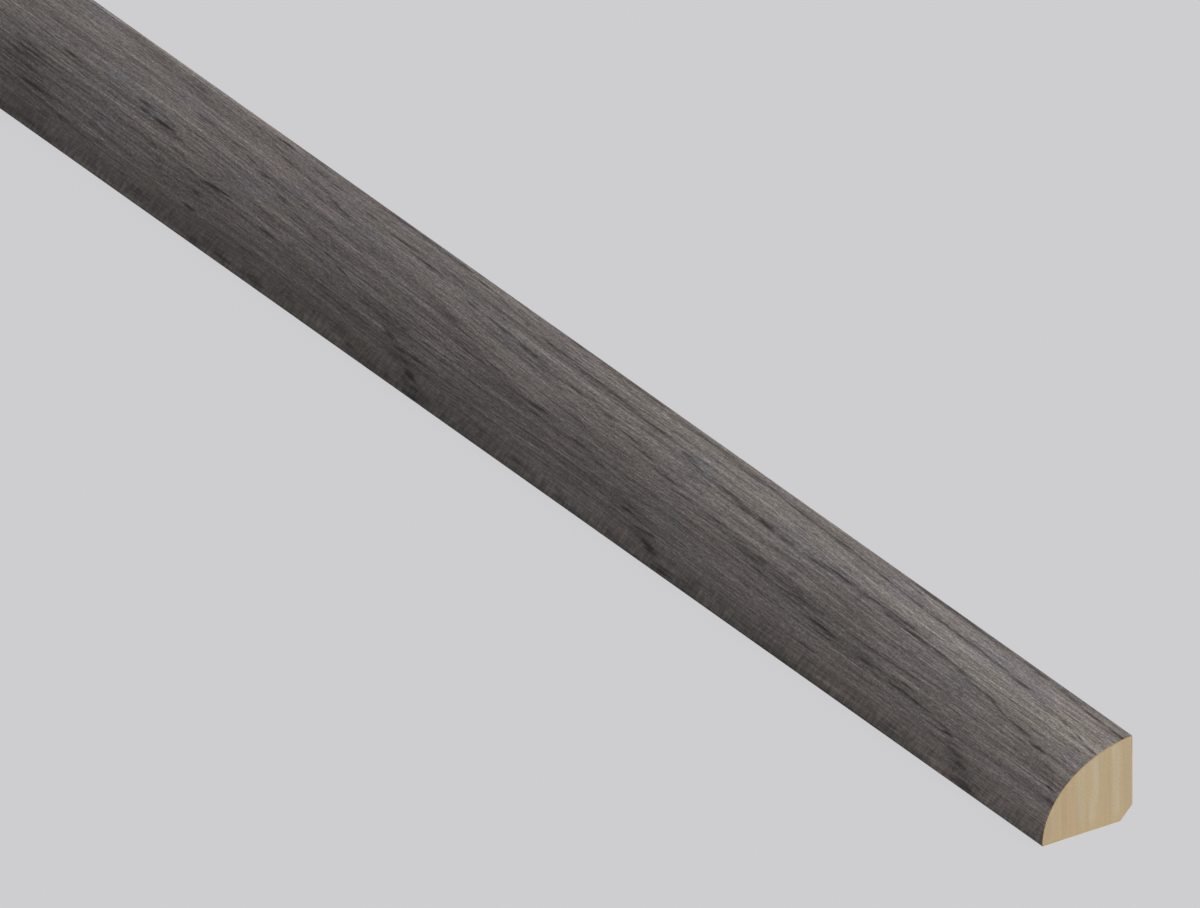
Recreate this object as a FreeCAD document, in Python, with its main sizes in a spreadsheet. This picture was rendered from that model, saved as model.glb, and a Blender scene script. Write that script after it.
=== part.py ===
# Quarter round moulding, sold by the stick: a light wood core moulded to a flattened quarter round,
# with a printed decor foil wrapped over its show face and turned a little way onto both flat faces.
# Frame: X runs along the stick, Y points to the wall, Z is up. The origin is at the middle of the base.
import FreeCAD, Part
import math
import os

import Sketcher

# Driving dimensions in millimetres, each the name of one cell of the sheet
SIZES = {
    "stick_length": 2388.0,  # 94 in, the length such stock is sold in
    "base_width": 19.05,  # 3/4 in, from the toe to the wall face
    "wall_height": 16.35,  # from the base to the top edge of the wall face
    "centre_beyond_wall": 1.9,  # how far behind the wall face the curve is centred
    "heel_bevel": 2.6,  # each leg of the 45 degree bevel between the base and the wall face
    "foil_thickness": 0.2,
    "base_turn": 4.0,  # how far the foil reaches onto the base
    "wall_turn": 4.0,  # how far the foil reaches down the wall face
}

ORIGIN = (-1, 1)  # the sketch's own origin, as an element and one of its points
LEVEL_AXIS = -1
START, END, CENTRE = 1, 2, 3


def make_sheet(doc):
    """The table of driving dimensions, one named cell for each."""
    sheet = doc.addObject("Spreadsheet::Sheet", "Sizes")
    for row, (name, value) in enumerate(SIZES.items(), start=1):
        sheet.set(f"A{row}", name)
        sheet.set(f"B{row}", str(value))
        sheet.setAlias(f"B{row}", name)
    doc.recompute()
    return sheet


class Section:
    """Where the corners of the section lie, read from the sheet, for drawing the sketches."""

    def __init__(self, sheet):
        self.toe = -sheet.base_width / 2
        self.wall = sheet.base_width / 2
        self.top = sheet.wall_height
        self.foil = sheet.foil_thickness
        self.bevel = sheet.heel_bevel
        self.base_turn_end = self.toe + sheet.base_turn
        self.wall_turn_end = self.top - sheet.wall_turn
        self.centre = self.wall + sheet.centre_beyond_wall
        self.reach = self.centre - self.toe
        self.rise = self.top / math.sqrt(1 - (sheet.centre_beyond_wall / self.reach) ** 2)

    def core_top(self):
        """Height of the core's top edge, under the foil on the wall face."""
        across = (self.wall - self.foil - self.centre) / (self.reach - self.foil)
        return (self.rise - self.foil) * math.sqrt(1 - across**2)

    def core_toe(self):
        """Place of the core's toe, above the foil on the base."""
        up = self.foil / (self.rise - self.foil)
        return self.centre - (self.reach - self.foil) * math.sqrt(1 - up**2)


class SectionSketch:
    """One closed outline across the stick, in a body's own YZ plane."""

    def __init__(self, body, name):
        self.sketch = body.newObject("Sketcher::SketchObject", name)
        plane = next(p for p in body.Origin.OriginFeatures if p.Role == "YZ_Plane")
        self.sketch.AttachmentSupport = [(plane, "")]
        self.sketch.MapMode = "FlatFace"

    def tie(self, kind, *elements):
        """A constraint with no size, such as two ends that meet."""
        self.sketch.addConstraint(Sketcher.Constraint(kind, *elements))

    def measure(self, name, kind, low, high, value, expression):
        """A distance from one point to another, bound to the sheet."""
        index = self.sketch.addConstraint(Sketcher.Constraint(kind, *low, *high, value))
        self.sketch.renameConstraint(index, name)
        self.sketch.setExpression(f"Constraints.{name}", expression)

    def run_of_lines(self, points):
        """Straight edges from point to point, joined where they meet."""
        edges = []
        for a, b in zip(points, points[1:]):
            line = Part.LineSegment(FreeCAD.Vector(*a, 0), FreeCAD.Vector(*b, 0))
            edges.append(self.sketch.addGeometry(line, False))
            kind = "Vertical" if a[0] == b[0] else "Horizontal" if a[1] == b[1] else None
            if kind:
                self.tie(kind, edges[-1])
        for first, second in zip(edges, edges[1:]):
            self.tie("Coincident", first, END, second, START)
        return edges

    def arc_of_ellipse(self, centre, reach, rise, top, toe, guide):
        """A level ellipse centred on the base line, cut off at a top and a toe point.

        Gives the arc, its farthest point towards the toe and its highest point."""
        middle = FreeCAD.Vector(centre, 0, 0)
        side_point = FreeCAD.Vector(centre + reach, 0, 0)
        high_point = FreeCAD.Vector(centre, rise, 0)
        wide = reach >= rise
        turn = 0 if wide else -math.pi / 2
        if wide:
            ellipse = Part.Ellipse(side_point, high_point, middle)
        else:
            ellipse = Part.Ellipse(high_point, FreeCAD.Vector(centre - reach, 0, 0), middle)
        start = math.atan2(top[1] / rise, (top[0] - centre) / reach) + turn
        end = math.atan2(toe[1] / rise, (toe[0] - centre) / reach) + turn
        arc = self.sketch.addGeometry(Part.ArcOfEllipse(ellipse, start, end), guide)
        self.sketch.exposeInternalGeometry(arc)
        level, upright = (arc + 1, arc + 2) if wide else (arc + 2, arc + 1)
        self.tie("Horizontal", level)
        far = min(((level, end) for end in (START, END)), key=lambda p: self.sketch.getPoint(*p).x)
        high = max(((upright, end) for end in (START, END)), key=lambda p: self.sketch.getPoint(*p).y)
        return arc, far, high

    def show_face(self, s, guide):
        """The curve of the show face, from the top edge of the wall face down to the toe."""
        arc, far, high = self.arc_of_ellipse(s.centre, s.reach, s.rise, (s.wall, s.top), (s.toe, 0), guide)
        self.tie("PointOnObject", arc, CENTRE, LEVEL_AXIS)
        self.tie("PointOnObject", arc, END, LEVEL_AXIS)
        half = "Sizes.base_width / 2"
        self.measure(
            "curve_centre", "DistanceX", ORIGIN, (arc, CENTRE), s.centre, f"{half} + Sizes.centre_beyond_wall"
        )
        self.measure("toe", "DistanceX", (arc, END), ORIGIN, -s.toe, half)
        self.measure("wall", "DistanceX", ORIGIN, (arc, START), s.wall, half)
        self.measure("top", "DistanceY", ORIGIN, (arc, START), s.top, "Sizes.wall_height")
        return arc, far, high

    def glue_face(self, s, outer):
        """The curve where the foil is glued to the core, one foil thickness inside the show face."""
        show, show_far, show_high = outer
        top = (s.wall - s.foil, s.core_top())
        toe = (s.core_toe(), s.foil)
        arc, far, high = self.arc_of_ellipse(s.centre, s.reach - s.foil, s.rise - s.foil, top, toe, False)
        self.tie("Coincident", arc, CENTRE, show, CENTRE)
        foil = "Sizes.foil_thickness"
        self.measure("foil_at_side", "DistanceX", show_far, far, s.foil, foil)
        self.measure("foil_at_crown", "DistanceY", high, show_high, s.foil, foil)
        self.measure("foil_on_wall", "DistanceX", (arc, START), (show, START), s.foil, foil)
        self.measure("foil_on_base", "DistanceY", ORIGIN, (arc, END), s.foil, foil)
        return arc


def pad_along_stick(body, sketch):
    """Push the outline out to both ends of the stick, half of the length each way."""
    pad = body.newObject("PartDesign::Pad", f"{body.Name}_pad")
    pad.Profile = sketch
    pad.SideType = "Symmetric"
    pad.setExpression("Length", "Sizes.stick_length")
    body.Tip = pad


def new_body(doc, label):
    """An empty body of its own for one piece of the moulding."""
    body = doc.addObject("PartDesign::Body", label)
    body.Label = label
    body.Placement = FreeCAD.Placement()
    return body


def make_core(doc, s):
    """The wood core: rebated by the foil's thickness where the foil turns over, bevelled at the heel."""
    body = new_body(doc, "core")
    outline = SectionSketch(body, "core_section")
    show = outline.show_face(s, guide=True)
    glue = outline.glue_face(s, show)
    glue_toe, glue_top = (s.core_toe(), s.foil), (s.wall - s.foil, s.core_top())
    edges = outline.run_of_lines(
        [
            glue_toe,
            (s.base_turn_end, s.foil),
            (s.base_turn_end, 0),
            (s.wall - s.bevel, 0),
            (s.wall, s.bevel),
            (s.wall, s.wall_turn_end),
            (s.wall - s.foil, s.wall_turn_end),
            glue_top,
        ]
    )
    base_rebate, _, base, bevel, wall, _, wall_rebate = edges
    outline.tie("Coincident", glue, END, base_rebate, START)
    outline.tie("Coincident", wall_rebate, END, glue, START)
    outline.tie("PointOnObject", base, START, LEVEL_AXIS)
    show_arc = show[0]
    outline.tie("Vertical", wall, END, show_arc, START)
    size = "Sizes.heel_bevel"
    outline.measure("bevel_on_base", "DistanceX", (bevel, START), (bevel, END), s.bevel, size)
    outline.measure("bevel_on_wall", "DistanceY", (bevel, START), (bevel, END), s.bevel, size)
    foil_turns(outline, s, show_arc, (base, START), (wall, END))
    pad_along_stick(body, outline.sketch)
    return body


def make_foil(doc, s):
    """The decor foil: a thin band over the curve, with a short turn onto each flat face."""
    body = new_body(doc, "decor_foil")
    outline = SectionSketch(body, "foil_section")
    show = outline.show_face(s, guide=False)
    glue = outline.glue_face(s, show)
    glue_toe, glue_top = (s.core_toe(), s.foil), (s.wall - s.foil, s.core_top())
    base_edges = outline.run_of_lines(
        [(s.toe, 0), (s.base_turn_end, 0), (s.base_turn_end, s.foil), glue_toe]
    )
    wall_edges = outline.run_of_lines(
        [glue_top, (s.wall - s.foil, s.wall_turn_end), (s.wall, s.wall_turn_end), (s.wall, s.top)]
    )
    show_arc = show[0]
    outline.tie("Coincident", show_arc, END, base_edges[0], START)
    outline.tie("Coincident", base_edges[-1], END, glue, END)
    outline.tie("Coincident", glue, START, wall_edges[0], START)
    outline.tie("Coincident", wall_edges[-1], END, show_arc, START)
    foil_turns(outline, s, show_arc, (base_edges[0], END), (wall_edges[-1], START))
    pad_along_stick(body, outline.sketch)
    return body


def foil_turns(outline, s, show_arc, base_end, wall_end):
    """How far the foil reaches onto the base and down the wall face, the same in both pieces."""
    outline.measure(
        "base_turn", "DistanceX", (show_arc, END), base_end, s.base_turn_end - s.toe, "Sizes.base_turn"
    )
    outline.measure(
        "wall_turn", "DistanceY", wall_end, (show_arc, START), s.top - s.wall_turn_end, "Sizes.wall_turn"
    )


def check(doc, pieces):
    """Stop if an object failed, a sketch isn't fully held, or a piece isn't one sound solid."""
    for thing in doc.Objects:
        if {"Invalid", "Error"} & set(thing.State):
            raise RuntimeError(f"{thing.Name} failed: {thing.State}")
        if thing.TypeId == "Sketcher::SketchObject" and not thing.FullyConstrained:
            raise RuntimeError(f"{thing.Name} isn't fully held by its sizes")
    for piece in pieces:
        if piece.Shape.isNull() or not piece.Shape.isValid() or len(piece.Shape.Solids) != 1:
            raise RuntimeError(f"{piece.Label} isn't one sound solid")


def main():
    doc = FreeCAD.newDocument("quarter_round")
    sheet = make_sheet(doc)
    section = Section(sheet)
    pieces = [make_core(doc, section), make_foil(doc, section)]
    doc.recompute()
    check(doc, pieces)
    os.makedirs("parts", exist_ok=True)
    for piece in pieces:
        piece.Shape.exportStep(f"parts/{piece.Label}.step")
        box = piece.Shape.BoundBox
        print(piece.Label, "volume", round(piece.Shape.Volume), "box", box)


main()
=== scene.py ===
import logging
import math
from dataclasses import dataclass, field
from enum import IntEnum

import bmesh
import bpy
from mathutils import Matrix, Vector


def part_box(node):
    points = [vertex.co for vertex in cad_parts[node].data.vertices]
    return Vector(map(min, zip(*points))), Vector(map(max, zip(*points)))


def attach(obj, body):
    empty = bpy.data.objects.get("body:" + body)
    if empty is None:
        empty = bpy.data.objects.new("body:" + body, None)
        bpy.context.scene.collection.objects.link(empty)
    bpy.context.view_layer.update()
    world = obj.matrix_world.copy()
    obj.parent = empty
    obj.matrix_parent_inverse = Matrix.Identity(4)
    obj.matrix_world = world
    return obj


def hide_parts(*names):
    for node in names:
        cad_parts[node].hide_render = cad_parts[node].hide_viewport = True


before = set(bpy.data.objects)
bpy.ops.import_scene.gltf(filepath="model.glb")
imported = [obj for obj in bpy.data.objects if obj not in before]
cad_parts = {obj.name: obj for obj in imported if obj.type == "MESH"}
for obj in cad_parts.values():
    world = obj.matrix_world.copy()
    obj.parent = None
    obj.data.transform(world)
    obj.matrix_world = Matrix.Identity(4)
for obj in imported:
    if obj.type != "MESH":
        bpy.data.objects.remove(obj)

MM = 0.001
TINY = 1e-6
SHARP_TURN = math.radians(30)
UNROLLED = "unrolled"
RIM = "rim"
BAKE_MAP = "OFBake"
LAYER_STEP = (7.31, 3.77, 5.13)

Point = tuple[float, float]
Size = tuple[float, float, float]

log = logging.getLogger("quarter_round")


class Layer(IntEnum):
    """The layers of noise, each of which is read at a place of its own so that no two match."""

    WANDER = 1
    ROWS = 2
    BANDS = 3
    CLOUDS = 4
    LONG_FIBRES = 5
    FIBRES = 6
    SHORT_FIBRES = 7
    PORES = 8
    RINGS = 9
    RING_PATCHES = 10
    BREAKS = 11
    ROSY = 12
    COOL = 13
    RIPPLE = 14
    SMEARS = 15
    SPECKLE = 16
    END_SWAY = 21
    END_PORES = 22
    END_BANDS = 23
    SIDE_BANDS = 31
    SIDE_FIBRES = 32
    SIDE_LINES = 33
    FLECKS = 41


def linear(hex_colour: str) -> tuple[float, float, float, float]:
    """Turn an sRGB hex colour into a linear colour for a shader.

    Args:
        hex_colour: Six hex digits, such as "6b6560".

    Returns:
        Linear red, green and blue, and an alpha of 1.
    """
    channels = [int(hex_colour[i : i + 2], 16) / 255 for i in (0, 2, 4)]
    return *((c / 12.92 if c <= 0.04045 else ((c + 0.055) / 1.055) ** 2.4) for c in channels), 1.0


def add_node(tree: bpy.types.NodeTree, kind: str, inputs: dict, **settings: object) -> bpy.types.Node:
    """Add a node, set its properties and fill its inputs.

    Args:
        tree: The node tree that gets the node.
        kind: The node's Blender type.
        inputs: A value or an output socket for each input, by name or number.
        **settings: The node's own properties.

    Returns:
        The new node.
    """
    node = tree.nodes.new(kind)
    for name, value in settings.items():
        setattr(node, name, value)
    for key, value in inputs.items():
        if isinstance(value, bpy.types.NodeSocket):
            tree.links.new(value, node.inputs[key])
        else:
            node.inputs[key].default_value = value
    return node


# The colour sockets of a Mix node, which share their names with those for numbers
MIX_SHARE, MIX_FIRST, MIX_SECOND, MIX_RESULT = 0, 6, 7, 2

Value = bpy.types.NodeSocket | float
Colour = bpy.types.NodeSocket | tuple[float, float, float, float]


@dataclass(frozen=True)
class Pattern:
    """A node tree that is being filled, with the sums and the noise that every layer needs."""

    tree: bpy.types.NodeTree

    def maths(self, operation: str, *values: Value) -> bpy.types.NodeSocket:
        """Add a Math node and return its result."""
        return add_node(self.tree, "ShaderNodeMath", dict(enumerate(values)), operation=operation).outputs[0]

    def added(self, *terms: tuple[Value, float]) -> Value:
        """Add up values, each times its weight."""
        total: Value = 0.0
        for value, weight in terms:
            total = self.maths("MULTIPLY_ADD", value, weight, total)
        return total

    def mixed(self, share: Value, first: Colour, second: Colour) -> bpy.types.NodeSocket:
        """Mix two colours, from all of the first at 0 to all of the second at 1."""
        inputs = {MIX_SHARE: share, MIX_FIRST: first, MIX_SECOND: second}
        return add_node(self.tree, "ShaderNodeMix", inputs, data_type="RGBA").outputs[MIX_RESULT]

    def lit(self, colour: bpy.types.NodeSocket, log_light: Value) -> bpy.types.NodeSocket:
        """Make a colour lighter or darker by the exponential of a number."""
        inputs = {0: colour, "Scale": self.maths("EXPONENT", log_light)}
        return add_node(self.tree, "ShaderNodeVectorMath", inputs, operation="SCALE").outputs[0]

    def moved(self, place: bpy.types.NodeSocket, along: Value, across: Value) -> bpy.types.NodeSocket:
        """Shift a place on the unrolled face by so many metres."""
        by = add_node(self.tree, "ShaderNodeCombineXYZ", {"X": along, "Y": across}).outputs[0]
        return add_node(self.tree, "ShaderNodeVectorMath", {0: place, 1: by}, operation="ADD").outputs[0]

    def noise(self, place: bpy.types.NodeSocket, size_mm: Size, layer: Layer, detail: float = 0.0) -> Value:
        """Soft spots of a given size, as a number about 0.

        Args:
            place: Where, in metres.
            size_mm: Length of a spot in each direction.
            layer: Which layer it is.
            detail: How many finer layers it has.

        Returns:
            A number that is mostly within a quarter of 0.
        """
        scale = [1 / (mm * MM) for mm in size_mm]
        inputs = {"Vector": place, "Scale": scale, "Location": [layer * step for step in LAYER_STEP]}
        spots = add_node(self.tree, "ShaderNodeMapping", inputs).outputs[0]
        inputs = {"Vector": spots, "Scale": 1.0, "Detail": detail, "Roughness": 0.6}
        return self.maths("SUBTRACT", add_node(self.tree, "ShaderNodeTexNoise", inputs).outputs[0], 0.5)

    def rise(self, value: Value, low: float, high: float, first: float = 0.0, last: float = 1.0) -> Value:
        """Go smoothly from one value to another as a number rises from low to high, and no further."""
        inputs = {"Value": value, "From Min": low, "From Max": high, "To Min": first, "To Max": last}
        return add_node(self.tree, "ShaderNodeMapRange", inputs, interpolation_type="SMOOTHSTEP").outputs[0]

    def relief(self, height: Value, depth_mm: float) -> bpy.types.NodeSocket:
        """Turn a height from 0 to 1 into a bump of a real depth."""
        inputs = {"Height": height, "Strength": 1.0, "Distance": depth_mm * MM}
        return add_node(self.tree, "ShaderNodeBump", inputs).outputs[0]


@dataclass(frozen=True)
class Streak:
    """One dark mark of the print: a thin spindle between two points of the unrolled face, in mm."""

    from_end: float
    up: float
    to_end: float
    to_up: float
    wide: float
    dark: float


# How far a spindle reaches from its middle, as a share of its streak's length and of its width
REACH_SHARE = 0.72
HALF_SHARE = 0.62
# Streaks at least this wide, in mm, are smears or knots rather than lines
WIDE_SMEAR = 1.3

# The figure of the print as it lies on the photographed stretch, from the near end on. Each row is a
# streak: its start and end as a distance from the near end and an unrolled height over the toe, then its
# width, all in mm, and how dark it is.
FIGURE = [
    Streak(*row)
    for row in (
        (68, 27.1, 34, 27.0, 0.6, 0.5), (33, 26.95, 24, 26.7, 0.8, 0.5), (24, 26.55, 13, 26.2, 0.7, 0.6),
        (13, 26.0, 6, 25.7, 0.7, 0.65), (5, 25.7, -4, 25.4, 0.8, 0.75),
        (66, 23.9, 58, 23.8, 0.5, 0.5), (58, 23.85, 49, 23.75, 0.6, 0.5), (50, 23.6, 40, 23.4, 0.5, 0.6),
        (41, 23.35, 31, 23.0, 0.5, 0.55), (32, 22.9, 23.5, 22.7, 0.65, 0.6), (22, 21.3, 14, 21.5, 0.6, 0.3),
        (14.5, 21.5, 8.5, 21.3, 0.55, 0.7), (9, 20.9, 5, 20.3, 0.45, 0.5), (5, 20.1, -2, 19.8, 0.6, 0.55),
        (66, 18.9, 57, 18.8, 1.2, 0.45), (59, 18.5, 49, 18.3, 0.75, 0.85), (50, 18.5, 44, 18.5, 0.7, 0.6),
        (48, 18.3, 36.5, 17.8, 0.7, 0.55), (38, 17.4, 31, 17.2, 0.5, 0.5), (32, 17.15, 28, 17.05, 0.7, 0.55),
        (29.5, 16.9, 23, 15.9, 0.55, 0.6), (24, 15.7, 15, 15.4, 0.6, 0.7), (15.5, 14.7, 8.8, 14.3, 0.65, 0.75),
        (8.8, 12.9, 3.8, 12.6, 0.6, 0.45), (5.5, 11.3, 1, 10.6, 0.5, 0.4), (5, 10.2, 0.5, 10.05, 0.7, 0.75),
        (3, 8.1, -2, 8.0, 0.8, 0.45), (66, 12.0, 56, 11.85, 0.5, 0.35), (58, 12.0, 44, 12.2, 0.45, 0.25),
        (66, 9.3, 57, 9.3, 0.5, 0.5), (58, 9.5, 48, 10.1, 0.5, 0.45), (50, 10.2, 45.5, 10.1, 0.5, 0.6),
        (60, 8.5, 52, 8.9, 0.45, 0.4), (53, 9.05, 45, 9.1, 0.6, 0.7), (46, 9.0, 38.5, 8.85, 0.5, 0.65),
        (39, 8.5, 32, 8.2, 0.5, 0.35), (39, 7.2, 33, 7.4, 0.5, 0.45), (35, 7.45, 30.8, 7.55, 0.7, 0.85),
        (32, 6.6, 26.5, 6.5, 0.65, 0.65), (31, 5.4, 25.5, 5.35, 0.6, 0.55), (29.5, 4.1, 24.3, 4.05, 1.0, 0.9),
        (28.6, 0.8, 20.8, 0.9, 1.25, 0.9), (27.5, 1.6, 20.6, 1.7, 0.9, 0.75), (22, 2.4, 19.5, 2.2, 0.6, 0.4),
        (52, 1.6, 42, 1.7, 2.2, 0.35),
        (126, 26.3, 118, 26.1, 0.6, 0.35), (119, 26.0, 111, 25.8, 1.0, 0.4), (112, 26.0, 105, 25.6, 0.7, 0.55),
        (104, 25.4, 95.5, 25.3, 0.95, 0.7), (96, 25.3, 88, 24.9, 0.5, 0.3), (90, 24.8, 82, 24.6, 0.9, 0.45),
        (88, 25.2, 76, 24.5, 0.5, 0.55), (78, 24.4, 69, 24.15, 0.5, 0.65), (70, 24.0, 60, 23.8, 0.5, 0.5),
        (125, 20.7, 119, 20.4, 0.5, 0.5), (120, 20.35, 111.5, 20.0, 0.7, 0.8), (113, 19.4, 104, 19.3, 0.9, 0.55),
        (106, 19.3, 99, 19.2, 1.1, 0.75), (101, 19.1, 90, 19.0, 0.6, 0.45), (92, 19.0, 82, 18.95, 0.6, 0.6),
        (85, 19.3, 74, 19.3, 0.8, 0.8), (77, 19.2, 63, 19.1, 0.5, 0.6), (66, 19.3, 54, 19.4, 0.7, 0.65), (127, 15.0, 119, 14.8, 0.5, 0.4),
        (119, 14.3, 108, 14.5, 0.45, 0.45), (109, 14.0, 102, 14.3, 0.5, 0.5), (105, 13.3, 98, 13.4, 0.9, 0.35),
        (99, 13.6, 94, 13.65, 0.6, 0.4), (102, 12.7, 93, 12.7, 1.2, 0.35), (94, 12.6, 87, 12.5, 0.8, 0.5),
        (88, 12.5, 80, 12.2, 0.5, 0.3), (100, 11.6, 91, 11.5, 0.55, 0.55), (90, 11.5, 76, 11.8, 0.6, 0.7),
        (84, 11.65, 79, 11.75, 0.9, 0.6), (79, 10.2, 70, 9.8, 0.5, 0.7), (75, 9.6, 66, 9.5, 0.5, 0.6),
        (77, 8.8, 70, 8.9, 0.5, 0.35), (76, 12.5, 69, 12.5, 0.45, 0.3), (68, 12.1, 64, 12.0, 0.5, 0.35),
        (81, 5.6, 73, 5.5, 0.6, 0.35), (126, 4.2, 120.6, 3.2, 1.25, 0.9), (125, 3.3, 121, 2.9, 1.0, 0.7),
        (122.3, 0.8, 116, 1.2, 1.25, 0.9), (120.5, 1.6, 115.6, 1.8, 0.8, 0.7), (114, 1.1, 108.5, 1.1, 2.0, 0.3),
        (162, 27.0, 140, 26.95, 0.6, 0.5), (142, 26.8, 119, 26.45, 0.7, 0.35), (197, 25.8, 189, 25.3, 0.6, 0.55),
        (192, 24.9, 181, 24.6, 0.5, 0.45), (197, 23.4, 178, 23.5, 0.5, 0.3), (180, 23.8, 168.5, 23.7, 0.6, 0.55),
        (168, 23.3, 157.5, 23.1, 0.7, 0.8), (159, 23.0, 146, 22.7, 0.5, 0.5), (151, 23.3, 144, 23.7, 0.5, 0.4),
        (146, 22.5, 136, 22.3, 0.6, 0.6), (133, 21.4, 125.5, 21.35, 0.8, 0.8), (128, 20.6, 122, 20.5, 0.6, 0.6),
        (200, 21.2, 195, 21.0, 0.5, 0.45), (192, 20.8, 181.5, 20.6, 0.55, 0.6), (181.5, 20.2, 172, 19.95, 0.6, 0.65),
        (175, 19.1, 163, 19.1, 0.5, 0.45), (165, 19.2, 154, 19.3, 0.55, 0.45), (156, 18.9, 148, 18.6, 0.5, 0.6),
        (149, 18.1, 139, 17.5, 0.6, 0.7), (141, 16.9, 131, 16.5, 0.6, 0.7), (131, 15.7, 125.5, 15.5, 0.5, 0.5),
        (201, 16.9, 193, 16.3, 0.6, 0.35), (197, 16.2, 189, 15.8, 0.6, 0.4), (194, 15.1, 184, 15.1, 0.5, 0.35),
        (182.5, 14.1, 176.5, 13.9, 0.5, 0.5), (176, 12.8, 168, 12.6, 0.5, 0.4), (169.3, 12.85, 162, 12.7, 0.75, 0.85),
        (162.5, 12.7, 157, 12.5, 0.4, 0.3), (167.5, 11.5, 163.5, 11.5, 0.5, 0.55), (154.3, 11.7, 147.3, 11.75, 0.8, 0.85),
        (161, 11.3, 153, 11.4, 0.4, 0.3), (148, 11.0, 139, 10.8, 0.6, 0.45), (200, 10.5, 178, 10.8, 0.45, 0.35),
        (138, 9.0, 130, 9.4, 0.5, 0.4), (133, 9.6, 127.5, 9.8, 0.6, 0.7), (138, 8.0, 129, 7.9, 0.9, 0.35),
        (134, 6.8, 129.8, 7.0, 0.75, 0.8), (128.5, 5.5, 122, 5.85, 0.65, 0.8), (130.5, 4.9, 124, 4.4, 1.5, 0.35),
        (200, 7.2, 196.5, 7.1, 0.6, 0.55), (200, 4.3, 196.3, 3.9, 1.2, 0.85), (201, 3, 194.5, 2.2, 3.0, 0.45),
        (200, 0.8, 194.5, 0.7, 1.25, 0.85), (194, 2.2, 189.5, 1.7, 1.1, 0.45), (180, 3.6, 172, 3.4, 0.9, 0.3),
        (168, 2.3, 161, 2.2, 2, 0.35), (153, 1.2, 150, 1.0, 1.2, 0.4), (137, 1.5, 133.5, 1.2, 1.2, 0.4),
        (265, 26.3, 259.5, 26.2, 0.7, 0.8), (254, 25.3, 242, 24.9, 0.5, 0.4), (250.5, 25.25, 246.5, 25.1, 0.6, 0.5),
        (235, 24.1, 227, 24.0, 0.6, 0.4), (234, 27.0, 213, 26.9, 0.5, 0.5), (213.5, 26.6, 204, 26.5, 0.6, 0.45),
        (204, 26.1, 197, 25.9, 0.6, 0.6), (225.5, 23.5, 216, 23.5, 0.7, 0.6), (218, 22.7, 208, 22.25, 0.9, 0.8),
        (209, 22.0, 203, 21.7, 0.4, 0.35), (260, 23.3, 255.5, 23.2, 0.6, 0.5), (256, 22.9, 246, 22.5, 0.4, 0.3),
        (243.5, 22.2, 234, 21.0, 0.6, 0.6), (283, 20.7, 274, 20.4, 0.5, 0.45), (275, 20.3, 265.5, 20.0, 0.5, 0.65),
        (265, 19.5, 261, 19.1, 0.5, 0.5), (260, 18.45, 255.5, 18.25, 0.55, 0.8), (256, 17.8, 251, 17.2, 0.4, 0.4),
        (251.5, 16.9, 247.5, 16.7, 0.5, 0.65), (247.5, 16.4, 244.5, 16.0, 0.4, 0.35), (245.3, 15.9, 240.7, 15.6, 0.5, 0.65),
        (241, 15.1, 234, 14.2, 0.4, 0.4), (233.5, 13.6, 229, 13.3, 0.5, 0.6), (228.5, 12.7, 224.3, 12.2, 0.5, 0.75),
        (221, 11.0, 214, 10.8, 0.55, 0.5), (213, 10.5, 207, 10.5, 0.5, 0.25), (208.5, 10.6, 202.5, 10.2, 0.6, 0.5),
        (203, 10.3, 195, 10.3, 0.5, 0.3), (268.5, 11.15, 259.5, 11.6, 0.7, 0.85), (249.5, 10.3, 244.7, 10.2, 0.65, 0.85),
        (270, 8.9, 266.5, 8.7, 0.6, 0.5), (270, 5.8, 265.7, 5.8, 0.8, 0.8), (209.5, 8.6, 204.3, 7.9, 0.8, 0.65),
        (205, 7.0, 201, 6.9, 0.7, 0.8), (202.5, 5.7, 199, 5.5, 0.5, 0.35), (255, 5.5, 246, 5.7, 0.5, 0.35),
        (267.5, 0.8, 262.5, 0.8, 1.25, 0.7), (258, 1.4, 253, 1.3, 2.0, 0.45), (250, 1.5, 243, 1.6, 2.2, 0.45),
        (218, 2.2, 214.5, 2.0, 1.1, 0.4), (289.5, 25.2, 284.5, 25.1, 0.7, 0.4), (318, 22.9, 305, 22.3, 0.5, 0.4),
        (306, 22.3, 293, 22.0, 0.45, 0.45), (293, 21.8, 286, 21.6, 0.4, 0.35), (326, 16.8, 318, 16.3, 0.5, 0.6),
        (317.3, 16.1, 311, 15.8, 0.55, 0.75), (306.3, 16.75, 302, 16.6, 0.6, 0.5), (295.5, 16.55, 289, 16.5, 0.55, 0.6),
        (289, 16.7, 281.5, 16.1, 0.6, 0.45), (292.8, 15.4, 289.4, 15.4, 0.6, 0.8), (288.3, 15.4, 281.7, 15.4, 0.8, 0.85),
        (282, 15.0, 278, 14.7, 0.5, 0.4), (334, 14.9, 327, 14.4, 0.7, 0.55), (328, 13.2, 318, 11.6, 3.4, 0.45),
        (331, 11.3, 319, 10.9, 1.0, 0.5), (331, 10.2, 318, 9.7, 0.8, 0.45), (323, 7.9, 312, 7.5, 0.8, 0.75),
        (312, 6.0, 303, 5.7, 0.6, 0.3), (315, 4.5, 311, 4.5, 0.9, 0.6), (285, 2.5, 280.5, 2.5, 1.6, 0.4),
    )
]

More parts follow.
